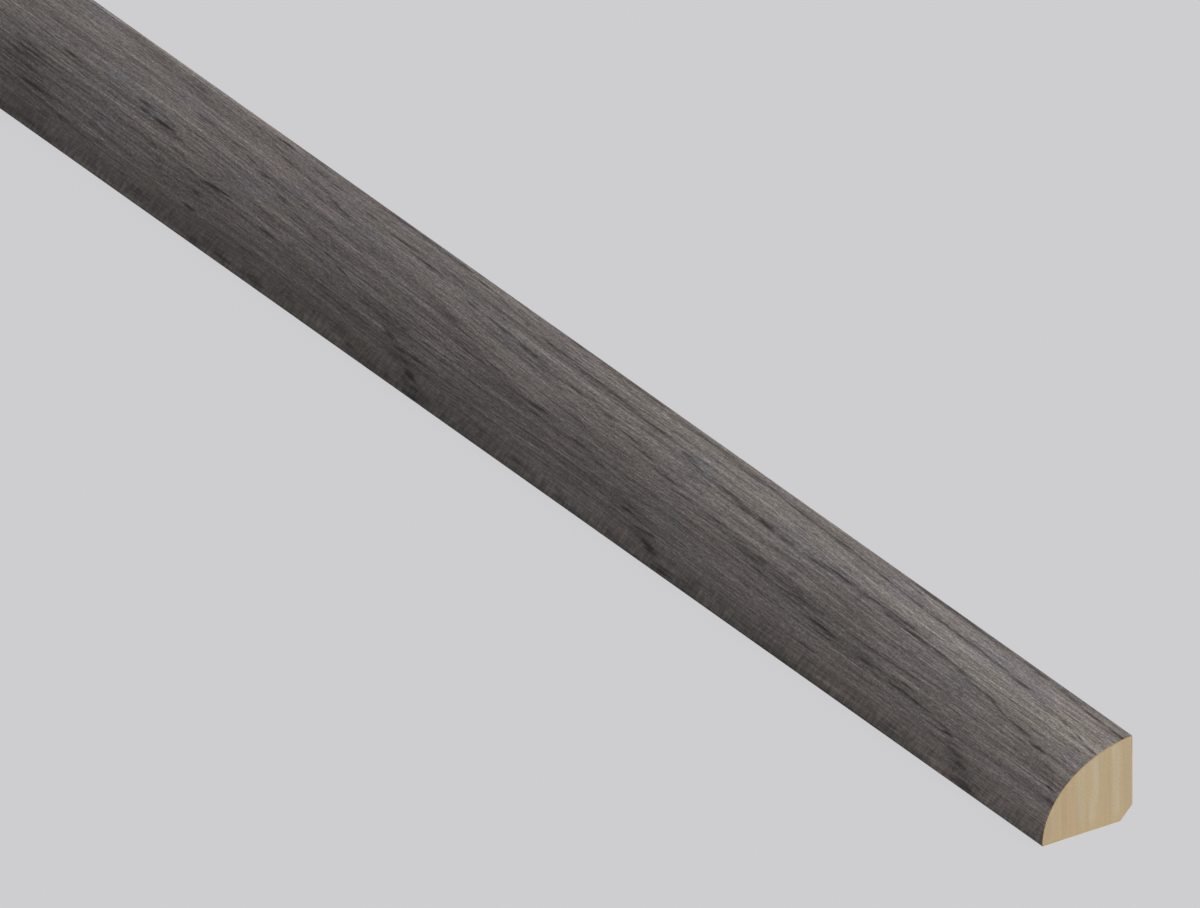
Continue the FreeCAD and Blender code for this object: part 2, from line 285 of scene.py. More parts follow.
# Its broad soft clouds, in the same terms, where a darkness below 0 is a paler stretch
CLOUDS = [
    Streak(*row)
    for row in (
        (176, 25.0, 100, 23.4, 4.5, -0.3), (176, 4.2, 136, 3.6, 5, -0.2), (330, 22.6, 196, 22.0, 5, 0.15),
        (82, 10.6, 26, 10.2, 5, 0.3), (86, 18.9, 48, 18.6, 3, 0.12), (245, 14.6, 172, 13.6, 5, 0.2),
        (219, 11.0, 200, 10.8, 3, 0.2), (336, 11.6, 304, 11.2, 6, 0.28), (326, 1.2, 296, 1.2, 5, 0.15),
        (70, 27.6, -10, 27.0, 2.6, 0.5), (26, 24.5, -8, 24.2, 2.6, -0.3), (11, 13.8, -2, 13.6, 1.0, -0.3),
        (132, 5.6, 106, 5.4, 4, -0.28), (128, 17.6, 84, 17.5, 2, -0.25), (130, 13.2, 44, 12.6, 5, 0.3),
        (150, 20.4, 84, 19.8, 4, -0.17), (100, 22.4, 30, 21.9, 2.5, -0.22), (110, 3.6, -8, 3.4, 4, -0.15),
        (16, 4.6, -4, 4.4, 2.5, -0.2), (36.5, 1.4, 30.5, 1.3, 2, -0.3), (20.3, 0.9, 18.3, 0.8, 1.5, -0.3),
        (24, 18.2, -2, 17.8, 3, 0.12), (132, 8.4, 98, 7.6, 3, -0.2), (108, 1.8, 97, 1.8, 2.2, -0.25),
        (93, 1.3, 80, 1.4, 2, -0.25), (196, 12.8, 138, 11.6, 4, 0.28), (172, 9.2, 134, 8.6, 2.5, -0.22),
        (154, 6.2, 122, 5.8, 2, -0.2), (186, 22.0, 148, 20.8, 1.8, -0.22), (198, 26.6, 148, 25.9, 2, -0.2),
        (262, 19.9, 206, 17.6, 1.6, -0.15), (274, 22.3, 252, 20.6, 2.5, -0.2), (272, 9.2, 240, 8.9, 1.8, -0.22),
        (231, 1.8, 217, 1.4, 2, -0.25), (266, 25.2, 198, 24.0, 4, 0.14), (242, 10.6, 204, 9.6, 2.2, 0.2),
        (300, 1.6, 232, 2.2, 4, 0.16), (332, 14.2, 290, 13.2, 2.5, -0.2), (330, 25.2, 300, 25.0, 2, -0.25),
        (328, 8.0, 308, 6.5, 3.5, 0.25), (326, 3.4, 312, 3.6, 3, 0.3), (104, 18.0, 76, 17.6, 1.2, -0.2),
        (128, 16.8, 108, 16.6, 1.2, -0.2), (118, 24.1, 80, 22.2, 1.3, -0.2), (58, 14.0, 30, 13.0, 2.5, 0.3),
        (42, 17.2, 14, 15.6, 2.5, 0.18), (26, 14.3, 8, 13.3, 1.0, -0.25), (34, 6.8, 22, 1.8, 5, 0.25),
        (134, 7.4, 118, 1.6, 5, 0.25), (208, 8.0, 194, 2.0, 5, 0.25), (250, 19.8, 178, 19.3, 3, 0.15),
        (214, 16.6, 178, 16.2, 3, 0.18), (334, 21.6, 300, 21.4, 2.5, 0.15), (184, 10.4, 148, 10.2, 2.5, 0.15),
        (76, 2.2, 56, 1.8, 2, -0.25), (116, 5.2, 88, 5.4, 1.5, -0.2), (112, 9.4, 94, 9.2, 1.2, -0.2),
        (56, 10.7, 42, 10.6, 1, -0.2), (54, 6.6, 30, 6.4, 1.2, -0.15), (104, 11.2, 76, 10.6, 1.6, 0.22),
        (80, 14.3, 58, 14.2, 1, 0.2), (60, 12.0, 30, 11.8, 1.4, 0.2), (12, 11.5, 2, 11.3, 1.2, 0.2),
        (40, 19.0, 20, 18.7, 1.2, 0.25), (128, 20.1, 96, 19.3, 1.1, 0.3), (114, 22.4, 96, 22.2, 1, -0.2),
        (230, 12.9, 208, 12.2, 1.5, -0.28), (164, 20.9, 120, 19.0, 1.6, -0.22), (182, 17.6, 146, 15.4, 1.6, -0.2),
        (172, 6.6, 142, 6.2, 1.8, -0.2), (208, 22.0, 180, 20.8, 2, 0.25), (184, 20.2, 164, 19.6, 1.8, 0.3),
        (236, 23.9, 222, 23.4, 1, 0.3), (204, 15.2, 170, 13.0, 2, 0.35), (186, 11.5, 160, 11.2, 1.4, 0.3),
        (218, 9.6, 198, 9.0, 2, 0.35), (232, 3.8, 204, 3.6, 2.5, 0.22), (218, 1.3, 200, 1.0, 2, 0.4),
        (154, 12.2, 116, 12.0, 1.2, 0.25), (306, 9.2, 266, 8.8, 2.5, -0.3), (312, 14.8, 290, 14.8, 1, -0.25),
        (294, 22.8, 260, 21.6, 1.6, -0.28), (258, 20.2, 228, 19.0, 1.4, -0.25), (334, 23.5, 316, 23.0, 1.2, 0.35),
        (314, 22.2, 284, 21.4, 1, 0.35), (256, 21.4, 228, 20.8, 1.2, 0.3), (280, 13.2, 236, 12.6, 1.6, 0.33),
        (252, 10.4, 234, 10.2, 0.8, 0.35), (334, 9.4, 314, 9.0, 2, 0.35), (322, 8.0, 304, 7.6, 2, 0.3),
        (326, 1.6, 306, 1.4, 2, 0.3), (266, 7.4, 240, 7.2, 1.2, 0.3), (276, 4.2, 248, 4.0, 1.6, 0.25),
        (248, 3.6, 230, 3.2, 1.2, 0.25), (272, 25.6, 256, 25.2, 1.2, 0.25), (340, 0.4, 236, 0.4, 1.5, -0.45),
        (72, 27.2, 36, 27.0, 1.6, 0.3), (330, 27.3, 240, 27.2, 1.6, -0.35), (190, 27.3, 84, 27.2, 1.4, -0.25),
        (336, 25.4, 236, 24.6, 2.5, 0.2), (220, 18.0, 176, 18.2, 2, 0.15), (165, 3.2, 108, 2.9, 2.5, -0.18),
        (336, 3.6, 236, 3.4, 2.5, 0.12), (62, 10.9, 36, 11.0, 1.6, -0.28), (208, 10.8, 184, 10.7, 1.2, -0.3),
        (30, 18.9, 2, 18.4, 1.2, 0.25), (14, 20.1, -2, 19.6, 1, 0.2), (22, 11.2, 0, 10.8, 1.2, 0.28),
        (26, 24.3, 14, 24.0, 0.8, -0.2), (24, 17.7, 8, 17.6, 0.8, -0.2), (28, 12.9, 6, 12.9, 0.8, -0.28),
        (74, 8.0, 40, 7.8, 1, -0.25), (68, 6.9, 52, 6.8, 0.7, 0.3), (94, 3.2, 72, 2.8, 1.4, -0.15),
        (52, 3.9, 34, 3.7, 0.8, -0.25), (66, 18.4, 55, 18.4, 0.7, 0.5), (85, 18.95, 72, 18.95, 0.5, 0.5),
        (40, 16.2, 26, 15.3, 0.9, 0.25), (106, 23.2, 86, 22.9, 1, 0.25), (100, 12.8, 72, 11.6, 1.6, 0.25),
        (79, 9.0, 65, 9.0, 0.7, 0.35), (56, 18.0, 40, 17.6, 0.8, 0.35), (125, 25.5, 114, 25.3, 0.8, 0.3),
    )
]

# Where the print is rosier, above 0, or greener, below, in the same terms
BLUSHES = [
    Streak(*row)
    for row in (
        (180, 24.6, -16, 24.0, 9, -0.26), (112, 15.5, 28, 14.5, 7, 0.06), (300, 21.5, 185, 20.5, 12, 0.12),
        (350, 6.0, 130, 5.5, 13, -0.07), (44, 19.6, -14, 18.8, 6, -0.55),
        (138, 7.5, 110, 7.0, 4, -0.3),
    )
]


@dataclass(frozen=True)
class GreyOakPrint:
    """Decor foil: paper printed with dark grey oak and sealed with a matt lacquer.

    The eye gets the grain from colour alone: fine fibres along the stick, growth lines that drift down
    towards the near end and break up along the fibres, and a few knots. The sheen is soft and even."""

    warm: str = "76706b"
    brown: str = "776f69"
    rosy: str = "786f6e"
    cool: str = "746e6f"
    ink: str = "484140"
    turn_mm: float = 398.0
    margin_mm: float = 20.0
    tone_turn_mm: float = 298.5
    tone_mm: float = 190.0
    tone_fall: float = -0.3
    top_fall: float = -0.008
    # The height of the painted highlight, a pale row along the top of the curve
    painted_highlight_row_mm: float = 20.5
    band_drift: float = 0.035
    fibre_drift: float = 0.012
    line_drift: float = 0.05
    line_gap_mm: float = 3.4
    ripple_lean: float = 0.55
    streak_depth: float = -0.95
    roughness: float = 0.62
    shine: float = 0.25

    def build(self) -> bpy.types.Material:
        """Make the print's material, which reads the unrolled map."""
        material = bpy.data.materials.new("grey_oak_decor_foil")
        material.use_nodes = True
        pattern = Pattern(material.node_tree)
        place = add_node(pattern.tree, "ShaderNodeUVMap", {}, uv_map=UNROLLED).outputs[0]
        along, up = add_node(pattern.tree, "ShaderNodeSeparateXYZ", {0: place}).outputs[:2]
        wander = pattern.noise(place, (70, 14, 1), Layer.WANDER)
        grain = pattern.moved(place, 0.0, pattern.added((wander, 4 * MM), (along, -self.band_drift)))
        strands = pattern.moved(place, 0.0, pattern.added((wander, 3 * MM), (along, -self.fibre_drift)))
        fibres = self.fibres(pattern, strands, up)
        rows = pattern.noise(grain, (9, 0.55, 1), Layer.ROWS)
        streaks = pattern.maths(
            "MAXIMUM", self.growth_lines(pattern, grain, rows), self.streaks(pattern, place, rows)
        )
        light = pattern.added(
            (fibres, 1.0),
            (pattern.noise(grain, (60, 2.4, 1), Layer.BANDS, detail=1.0), 0.75),
            (pattern.noise(grain, (130, 8, 1), Layer.CLOUDS, detail=1.0), 0.7),
            (self.slow_tone_and_painted_light(pattern, along, up), 1.0),
            (self.clouded(pattern, place, CLOUDS), -1.0),
            (streaks, self.streak_depth),
        )
        blush = pattern.added((self.clouded(pattern, place, BLUSHES), 1.0), (fibres, -0.9))
        tint = self.tint(pattern, grain, blush, self.brown_share(pattern, along, up))
        colour = pattern.lit(pattern.mixed(streaks, tint, linear(self.ink)), light)
        shader = pattern.tree.nodes["Principled BSDF"]
        pattern.tree.links.new(colour, shader.inputs["Base Color"])
        pattern.tree.links.new(pattern.relief(fibres, 0.03), shader.inputs["Normal"])
        roughness = pattern.rise(fibres, -0.5, 0.5, self.roughness + 0.08, self.roughness - 0.08)
        pattern.tree.links.new(roughness, shader.inputs["Roughness"])
        shader.inputs["Specular IOR Level"].default_value = self.shine
        return material

    def fibres(self, pattern: Pattern, grain: bpy.types.NodeSocket, up: Value) -> Value:
        """Fibres of three lengths, open pores, and short ripples across the grain near the toe.

        Args:
            pattern: The tree to fill.
            grain: Where, on the unrolled face, following the grain's wander.
            up: The unrolled height over the toe.

        Returns:
            A change of log lightness.
        """
        pores = pattern.rise(pattern.noise(grain, (4, 0.32, 1), Layer.PORES), 0.08, 0.24)
        lengthways = pattern.added(
            (pattern.noise(grain, (36, 0.28, 1), Layer.LONG_FIBRES), 0.85),
            (pattern.noise(grain, (8, 0.27, 1), Layer.FIBRES), 0.7),
            (pattern.noise(grain, (1.4, 0.28, 1), Layer.SHORT_FIBRES), 0.75),
            (pattern.noise(grain, (0.5, 0.35, 1), Layer.SPECKLE), 0.85),
            (pores, -0.3),
        )
        near_toe = pattern.rise(up, 1.5 * MM, 7 * MM, 1.0, 0.0)
        leaning = pattern.moved(grain, pattern.maths("MULTIPLY", up, self.ripple_lean), 0.0)
        crossways = pattern.noise(leaning, (0.85, 3, 1), Layer.RIPPLE, detail=1.0)
        return pattern.added(
            (pattern.maths("MULTIPLY", lengthways, pattern.maths("MULTIPLY_ADD", near_toe, -0.45, 1.0)), 1.0),
            (pattern.maths("MULTIPLY", crossways, near_toe), 1.3),
        )

    def slow_tone_and_painted_light(self, pattern: Pattern, along: Value, up: Value) -> Value:
        """The slow change from a lighter to a darker stretch and back, a painted highlight along the top and painted
        shade at the toe.
        """
        wave = pattern.maths("PINGPONG", along, self.tone_turn_mm * MM)
        fall = pattern.maths("MULTIPLY_ADD", up, self.top_fall / MM, self.tone_fall)
        # Painted highlight: a pale row along the top of the curve, strongest near the near end
        away = pattern.maths("ABSOLUTE", pattern.maths("SUBTRACT", up, self.painted_highlight_row_mm * MM))
        pale = pattern.rise(away, 0.0, 5 * MM, 1.0, 0.0)
        return pattern.added(
            (pattern.maths("MULTIPLY", pattern.rise(wave, 0.0, self.tone_mm * MM), fall), 1.0),
            (pattern.maths("MULTIPLY", pale, pattern.rise(wave, 0.0, 100 * MM, 0.2, 0.08)), 1.0),
            # Painted shade at the toe: darker over the lowest 3 mm, and most over the last 0.9 mm
            (pattern.rise(up, 0.0, 3 * MM, -0.1, 0.0), 1.0),
            (pattern.rise(up, 0.0, 0.9 * MM, -0.2, 0.0), 1.0),
        )

    def growth_lines(self, pattern: Pattern, grain: bpy.types.NodeSocket, rows: Value) -> Value:
        """Faint lines with one sharp side, each fibre row of which lies a little before or behind."""
        split = add_node(pattern.tree, "ShaderNodeSeparateXYZ", {0: grain}).outputs
        level = pattern.maths("MULTIPLY_ADD", split[0], -self.line_drift, split[1])
        ring = pattern.added(
            (level, 1 / (self.line_gap_mm * MM)),
            (pattern.noise(grain, (120, 10, 1), Layer.RINGS, detail=1.0), 4.0),
            (rows, 0.25),
        )
        line = pattern.maths("POWER", pattern.maths("FRACT", ring), 12.0)
        shown = pattern.rise(pattern.noise(grain, (32, 4, 1), Layer.RING_PATCHES), -0.04, 0.12, 0.0, 0.25)
        return pattern.maths("MULTIPLY", line, shown)

    def on_roller(self, pattern: Pattern, place: bpy.types.NodeSocket) -> bpy.types.NodeSocket:
        """Turn a place on the face into its place on the print roller, which repeats along the stick."""
        split = add_node(pattern.tree, "ShaderNodeSeparateXYZ", {0: place}).outputs
        edges = (-self.margin_mm * MM, (self.turn_mm - self.margin_mm) * MM)
        along = pattern.maths("WRAP", split[0], edges[1], edges[0])
        return add_node(pattern.tree, "ShaderNodeCombineXYZ", {"X": along, "Y": split[1]}).outputs[0]

    def spindle(self, pattern: Pattern, spot: bpy.types.NodeSocket, streak: Streak, crisp: float) -> Value:
        """How dark one streak is at a spot of the roller.

        Args:
            pattern: The tree to fill.
            spot: The place on the roller.
            streak: The streak.
            crisp: How crisp its edge is, from 0, soft to the middle, up to 1.

        Returns:
            0 outside the streak, and its darkness in the middle.
        """
        run = Vector((streak.to_end - streak.from_end, streak.to_up - streak.up))
        ball = add_node(pattern.tree, "ShaderNodeTexGradient", {0: spot}, gradient_type="SPHERICAL")
        laid = ball.texture_mapping
        laid.vector_type = "TEXTURE"
        laid.translation = ((streak.from_end + streak.to_end) / 2 * MM, (streak.up + streak.to_up) / 2 * MM, 0)
        laid.rotation = (0, 0, math.atan2(run.y, run.x))
        laid.scale = (run.length * REACH_SHARE * MM, streak.wide * HALF_SHARE * MM, 1)
        return pattern.rise(ball.outputs[1], 0, 1 - crisp, 0, streak.dark)

    def streaks(self, pattern: Pattern, place: bpy.types.NodeSocket, rows: Value) -> Value:
        """The dark figure: thin lines, and smears that are torn into fibres."""
        moved = pattern.moved(place, 0.0, pattern.maths("MULTIPLY", rows, 0.8 * MM))
        spot = self.on_roller(pattern, moved)
        lines: Value = 0.0
        smears: Value = 0.0
        for streak in FIGURE:
            shape = self.spindle(pattern, spot, streak, 0.2)
            if streak.wide < WIDE_SMEAR:
                lines = pattern.maths("MAXIMUM", lines, shape)
            else:
                smears = pattern.maths("MAXIMUM", smears, shape)
        broken = pattern.rise(pattern.noise(place, (4, 0.6, 1), Layer.BREAKS), -0.15, 0.15, 1.0, 0.5)
        torn = pattern.rise(pattern.noise(place, (5, 0.5, 1), Layer.SMEARS, detail=1.0), -0.14, 0.12, 0.1, 1.0)
        return pattern.maths(
            "MAXIMUM", pattern.maths("MULTIPLY", lines, broken), pattern.maths("MULTIPLY", smears, torn)
        )

    def clouded(self, pattern: Pattern, place: bpy.types.NodeSocket, clouds: list[Streak]) -> Value:
        """Add up broad soft clouds of the figure."""
        spot = self.on_roller(pattern, place)
        total: Value = 0.0
        for cloud in clouds:
            total = pattern.maths("ADD", total, self.spindle(pattern, spot, cloud, 0.0))
        return total

    def brown_share(self, pattern: Pattern, along: Value, up: Value) -> Value:
        """How brown the print is: most near the toe, and more in the lighter stretch."""
        wave = pattern.maths("PINGPONG", along, self.tone_turn_mm * MM)
        low = pattern.rise(up, 1 * MM, 11 * MM, 1.0, 0.0)
        return pattern.maths("MULTIPLY", low, pattern.rise(wave, 60 * MM, 180 * MM, 0.8, 0.4))

    def tint(
        self, pattern: Pattern, grain: bpy.types.NodeSocket, blush: Value, brown: Value
    ) -> bpy.types.NodeSocket:
        """Patches of olive, rosy and cool grey, rosier between the pale fibres and browner at the toe."""
        patches = pattern.maths("ADD", pattern.noise(grain, (15, 3.5, 1), Layer.ROSY, detail=1.0), blush)
        cool = pattern.rise(pattern.noise(grain, (22, 4.5, 1), Layer.COOL, detail=1.0), -0.06, 0.26)
        ground = pattern.mixed(pattern.rise(patches, -0.26, 0.34), linear(self.warm), linear(self.rosy))
        ground = pattern.mixed(cool, ground, linear(self.cool))
        return pattern.mixed(brown, ground, linear(self.brown))


@dataclass(frozen=True)
class Band:
    """One growth band of the sawn end: its middle and half width from the toe, in mm, and its colour."""

    middle: float
    half: float
    colour: str


# The bands that show on the cut end, from the toe to the wall face
END_BANDS = [
    Band(*row)
    for row in (
        (1.0, 1.6, "a69475"), (4.9, 0.7, "aa9572"), (6.5, 0.9, "af9878"), (8.3, 0.8, "b2a183"),
        (10.9, 0.9, "b3a386"), (13.6, 0.9, "ae9977"), (15.6, 1.0, "b4a488"), (17.8, 0.7, "ac997a"),
    )
]


@dataclass(frozen=True)
class SawnEnd:
    """Cross-cut softwood: pale tan, with growth bands that run up the section and a honey-coloured rim.

    A fine saw leaves it dull and nearly flat, so only soft bands and faint fibre ends show."""

    ground: str = "af9c7c"
    honey: str = "b09a75"
    roughness: float = 0.8
    toe: float = 0.0

    def build(self) -> bpy.types.Material:
        """Make the end's material, which reads object coordinates and the rim's attribute."""
        material = bpy.data.materials.new("sawn_softwood_end")
        material.use_nodes = True
        pattern = Pattern(material.node_tree)
        place = add_node(pattern.tree, "ShaderNodeTexCoord", {}).outputs["Object"]
        split = add_node(pattern.tree, "ShaderNodeSeparateXYZ", {0: place}).outputs
        sway = pattern.noise(place, (6, 5, 7), Layer.END_SWAY)
        across = pattern.maths("MULTIPLY_ADD", sway, 1.6 * MM, split[1])
        colour: Colour = linear(self.ground)
        for band in END_BANDS:
            away = pattern.maths("ABSOLUTE", pattern.maths("SUBTRACT", across, self.toe + band.middle * MM))
            share = pattern.rise(away, band.half * 0.4 * MM, band.half * 1.1 * MM, 0.9, 0.0)
            colour = pattern.mixed(share, colour, linear(band.colour))
        low = pattern.rise(split[2], 0.0, 3.2 * MM, 0.7, 0.0)
        colour = pattern.mixed(low, colour, linear(self.honey))
        rim = add_node(pattern.tree, "ShaderNodeAttribute", {}, attribute_name=RIM).outputs["Fac"]
        colour = pattern.mixed(pattern.rise(rim, 0.0, 1.0, 0.0, 0.8), colour, linear(self.honey))
        pores = pattern.noise(place, (1, 0.35, 0.5), Layer.END_PORES, detail=1.0)
        bands = pattern.noise(place, (9, 0.7, 14), Layer.END_BANDS)
        colour = pattern.lit(colour, pattern.added((pores, 0.12), (bands, 0.12)))
        shader = pattern.tree.nodes["Principled BSDF"]
        pattern.tree.links.new(colour, shader.inputs["Base Color"])
        pattern.tree.links.new(pattern.relief(pores, 0.03), shader.inputs["Normal"])
        shader.inputs["Roughness"].default_value = self.roughness
        return material


@dataclass(frozen=True)
class MouldedWood:
    """Bare softwood as it leaves the moulding cutters: pale tan, with grain lines along the stick.

    The cutters leave it smooth but unsealed, so it is dull, with a faint furrow at each grain line."""

    pale: str = "b3a181"
    tan: str = "a68e66"
    line: str = "8e754f"
    roughness: float = 0.72

    def build(self) -> bpy.types.Material:
        """Make the long faces' material, which reads object coordinates."""
        material = bpy.data.materials.new("moulded_softwood")
        material.use_nodes = True
        pattern = Pattern(material.node_tree)
        place = add_node(pattern.tree, "ShaderNodeTexCoord", {}).outputs["Object"]
        bands = pattern.noise(place, (160, 3.2, 3.2), Layer.SIDE_BANDS, detail=2.0)
        fibres = pattern.noise(place, (14, 0.45, 0.45), Layer.SIDE_FIBRES, detail=1.0)
        lines = pattern.rise(pattern.noise(place, (90, 1.1, 1.1), Layer.SIDE_LINES), 0.1, 0.26)
        colour = pattern.mixed(pattern.rise(bands, -0.16, 0.16), linear(self.pale), linear(self.tan))
        colour = pattern.mixed(pattern.maths("MULTIPLY", lines, 0.6), colour, linear(self.line))
        colour = pattern.lit(colour, pattern.maths("MULTIPLY", fibres, 0.35))
        shader = pattern.tree.nodes["Principled BSDF"]
        pattern.tree.links.new(colour, shader.inputs["Base Color"])
        pattern.tree.links.new(pattern.relief(fibres, 0.04), shader.inputs["Normal"])
        shader.inputs["Roughness"].default_value = self.roughness
        return material


@dataclass(frozen=True)
class FoilBack:
    """The foil's glued side and its cut edge: paper soaked with resin, a thin honey-coloured line."""

    colour: str = "a69064"
    roughness: float = 0.8

    def build(self) -> bpy.types.Material:
        """Make the paper's material, faintly flecked by its fibres."""
        material = bpy.data.materials.new("resin_soaked_paper")
        material.use_nodes = True
        pattern = Pattern(material.node_tree)
        place = add_node(pattern.tree, "ShaderNodeTexCoord", {}).outputs["Object"]
        fleck = pattern.noise(place, (1.5, 0.5, 0.5), Layer.FLECKS)
        ground = add_node(pattern.tree, "ShaderNodeRGB", {})
        ground.outputs[0].default_value = linear(self.colour)
        shader = pattern.tree.nodes["Principled BSDF"]
        colour = pattern.lit(ground.outputs[0], pattern.maths("MULTIPLY", fleck, 0.3))
        pattern.tree.links.new(colour, shader.inputs["Base Color"])
        shader.inputs["Roughness"].default_value = self.roughness
        return material


@dataclass
class Moulding:
    """The sizes of the stick and its section, and the strokes that draw the core and the foil from them."""

    low: Vector
    high: Vector
    centre_beyond_wall: float = 1.9 * MM
    heel_bevel: float = 2.6 * MM
    foil: float = 0.2 * MM
    base_turn: float = 4.0 * MM
    wall_turn: float = 4.0 * MM
    curve_steps: int = 72
    stretches: int = 8
    toe: float = field(init=False)
    wall: float = field(init=False)
    top: float = field(init=False)
    length: float = field(init=False)
    reach: float = field(init=False)
    rise: float = field(init=False)

    def __post_init__(self) -> None:
        """Work out the curve from the foil's box and the named sizes."""
        self.toe, self.wall, self.top = self.low.y, self.high.y, self.high.z
        self.length = self.high.x - self.low.x
        self.reach = self.wall + self.centre_beyond_wall - self.toe
        self.rise = self.top / math.sqrt(1 - (self.centre_beyond_wall / self.reach) ** 2)

    def curve(self, bm: bmesh.types.BMesh, inset: float) -> list[bmesh.types.BMVert]:
        """Spin a point round a unit circle at the far end, then squash it into the face's ellipse.

        Args:
            bm: The empty mesh that gets the curve.
            inset: How far inside the show face it lies.

        Returns:
            Its vertices, from the toe up to the wall face.
        """
        reach, rise = self.reach - inset, self.rise - inset
        centre = self.wall + self.centre_beyond_wall
        first = math.asin(inset / rise)
        last = math.acos((self.centre_beyond_wall + inset) / reach)
        start = bm.verts.new((0, -math.cos(first), math.sin(first)))
        bmesh.ops.spin(
            bm, geom=[start], cent=(0, 0, 0), axis=(-1, 0, 0), angle=last - first, steps=self.curve_steps
        )
        bmesh.ops.scale(bm, vec=(1, reach, rise), verts=bm.verts)
        bmesh.ops.translate(bm, vec=(self.low.x, centre, 0), verts=bm.verts)
        return sorted(bm.verts, key=lambda vert: vert.co.z)

    def draw_on(
        self, bm: bmesh.types.BMesh, start: bmesh.types.BMVert, corners: list[Point]
    ) -> list[bmesh.types.BMVert]:
        """Draw straight edges from a vertex through corners of the section, and return the new vertices."""
        verts = [start]
        for across, up in corners:
            verts.append(bm.verts.new((self.low.x, across, up)))
            bm.edges.new(verts[-2:])
        return verts[1:]

    def reach_near_end(self, bm: bmesh.types.BMesh, pushed: list) -> None:
        """Move what an extrude has just made to the near end."""
        verts = [part for part in pushed if isinstance(part, bmesh.types.BMVert)]
        bmesh.ops.translate(bm, vec=(self.length, 0, 0), verts=verts)

    def cut_across(self, bm: bmesh.types.BMesh) -> None:
        """Cut the stick's long faces into even stretches, which its bake map lays side by side."""
        for k in range(1, self.stretches):
            middle = (self.low.x + self.length * k / self.stretches, 0, 0)
            everything = [*bm.verts, *bm.edges, *bm.faces]
            bmesh.ops.bisect_plane(bm, geom=everything, plane_co=middle, plane_no=(1, 0, 0))

    def way_round(self, bm: bmesh.types.BMesh, start: Point) -> dict[Point, float]:
        """Walk along the far end's edges and note how far round the section each point lies.

        Args:
            bm: The mesh, whose far end is one chain or ring of edges.
            start: The point to start from, as a place across the stick and a height.

        Returns:
            The distance walked to each point.
        """
        ends = [v for v in bm.verts if abs(v.co.x - self.low.x) < TINY]
        vert = min(ends, key=lambda v: math.dist(v.co.yz, start))
        walked, seen = {}, 0.0
        while vert:
            walked[section_point(vert)] = seen
            beside = [edge.other_vert(vert) for edge in vert.link_edges]
            beside = [v for v in beside if abs(v.co.x - self.low.x) < TINY and section_point(v) not in walked]
            if beside:
                seen += math.dist(vert.co, beside[0].co)
            vert = beside[0] if beside else None
        return walked

    def corner_edges(self, bm: bmesh.types.BMesh, corners: list[Point]) -> list[bmesh.types.BMEdge]:
        """Find the long edges that run through given corners of the section."""
        found = []
        for edge in bm.edges:
            along = abs(edge.verts[0].co.x - edge.verts[1].co.x) > TINY
            if along and any(math.dist(edge.verts[0].co.yz, corner) < TINY for corner in corners):
                found.append(edge)
        return found


def section_point(vert: bmesh.types.BMVert) -> Point:
    """A vertex's place across the stick and its height, to a tenth of a micron."""
    return round(vert.co.y, 7), round(vert.co.z, 7)


@dataclass(frozen=True)
class BakeSheet:
    """The square that a piece's finish is stored on, with the stick's stretches in strips one above another."""

    moulding: Moulding
    side_px: float = 1024.0
    px_per_mm: float = 3.3
    margin_px: float = 4.0

    def lay(
        self, face: bmesh.types.BMFace, layer: object, spots: list[Point], row_px: float, pitch_px: float = 0.0
    ) -> None:
        """Lay one face of a long side on the sheet.

        Args:
            face: The face, which lies within one stretch.
            layer: The UV layer to write.
            spots: For each corner, the distance from the near end and the pixels above the strip's foot.
            row_px: Where the first strip starts.
            pitch_px: How far apart the strips of the stretches are, or 0 to lay them on each other.
        """
        stretch = self.moulding.length / self.moulding.stretches
        middle = sum(along for along, _ in spots) / len(spots)
        k = min(int(middle / stretch), self.moulding.stretches - 1)
        for loop, (along, up_px) in zip(face.loops, spots):
            x_px = self.margin_px + (along - k * stretch) / MM * self.px_per_mm
            y_px = row_px + k * pitch_px + up_px
            loop[layer].uv = (x_px / self.side_px, y_px / self.side_px)


def finished(name: str, bm: bmesh.types.BMesh, materials: list[bpy.types.Material]) -> bpy.types.Object:
    """Turn a bmesh into an object at the origin, shaded smooth but for its sharp corners.

    Args:
        name: The piece's name.
        bm: Its mesh, which is freed.
        materials: Its materials, by the faces' material index.

    Returns:
        The object, linked to the scene.
    """
    for face in bm.faces:
        face.smooth = True
    for edge in bm.edges:
        edge.smooth = edge.calc_face_angle(0.0) < SHARP_TURN
    mesh = bpy.data.meshes.new(name)
    bm.to_mesh(mesh)
    bm.free()
    for material in materials:
        mesh.materials.append(material)
    piece = bpy.data.objects.new(name, mesh)
    bpy.context.scene.collection.objects.link(piece)
    return piece


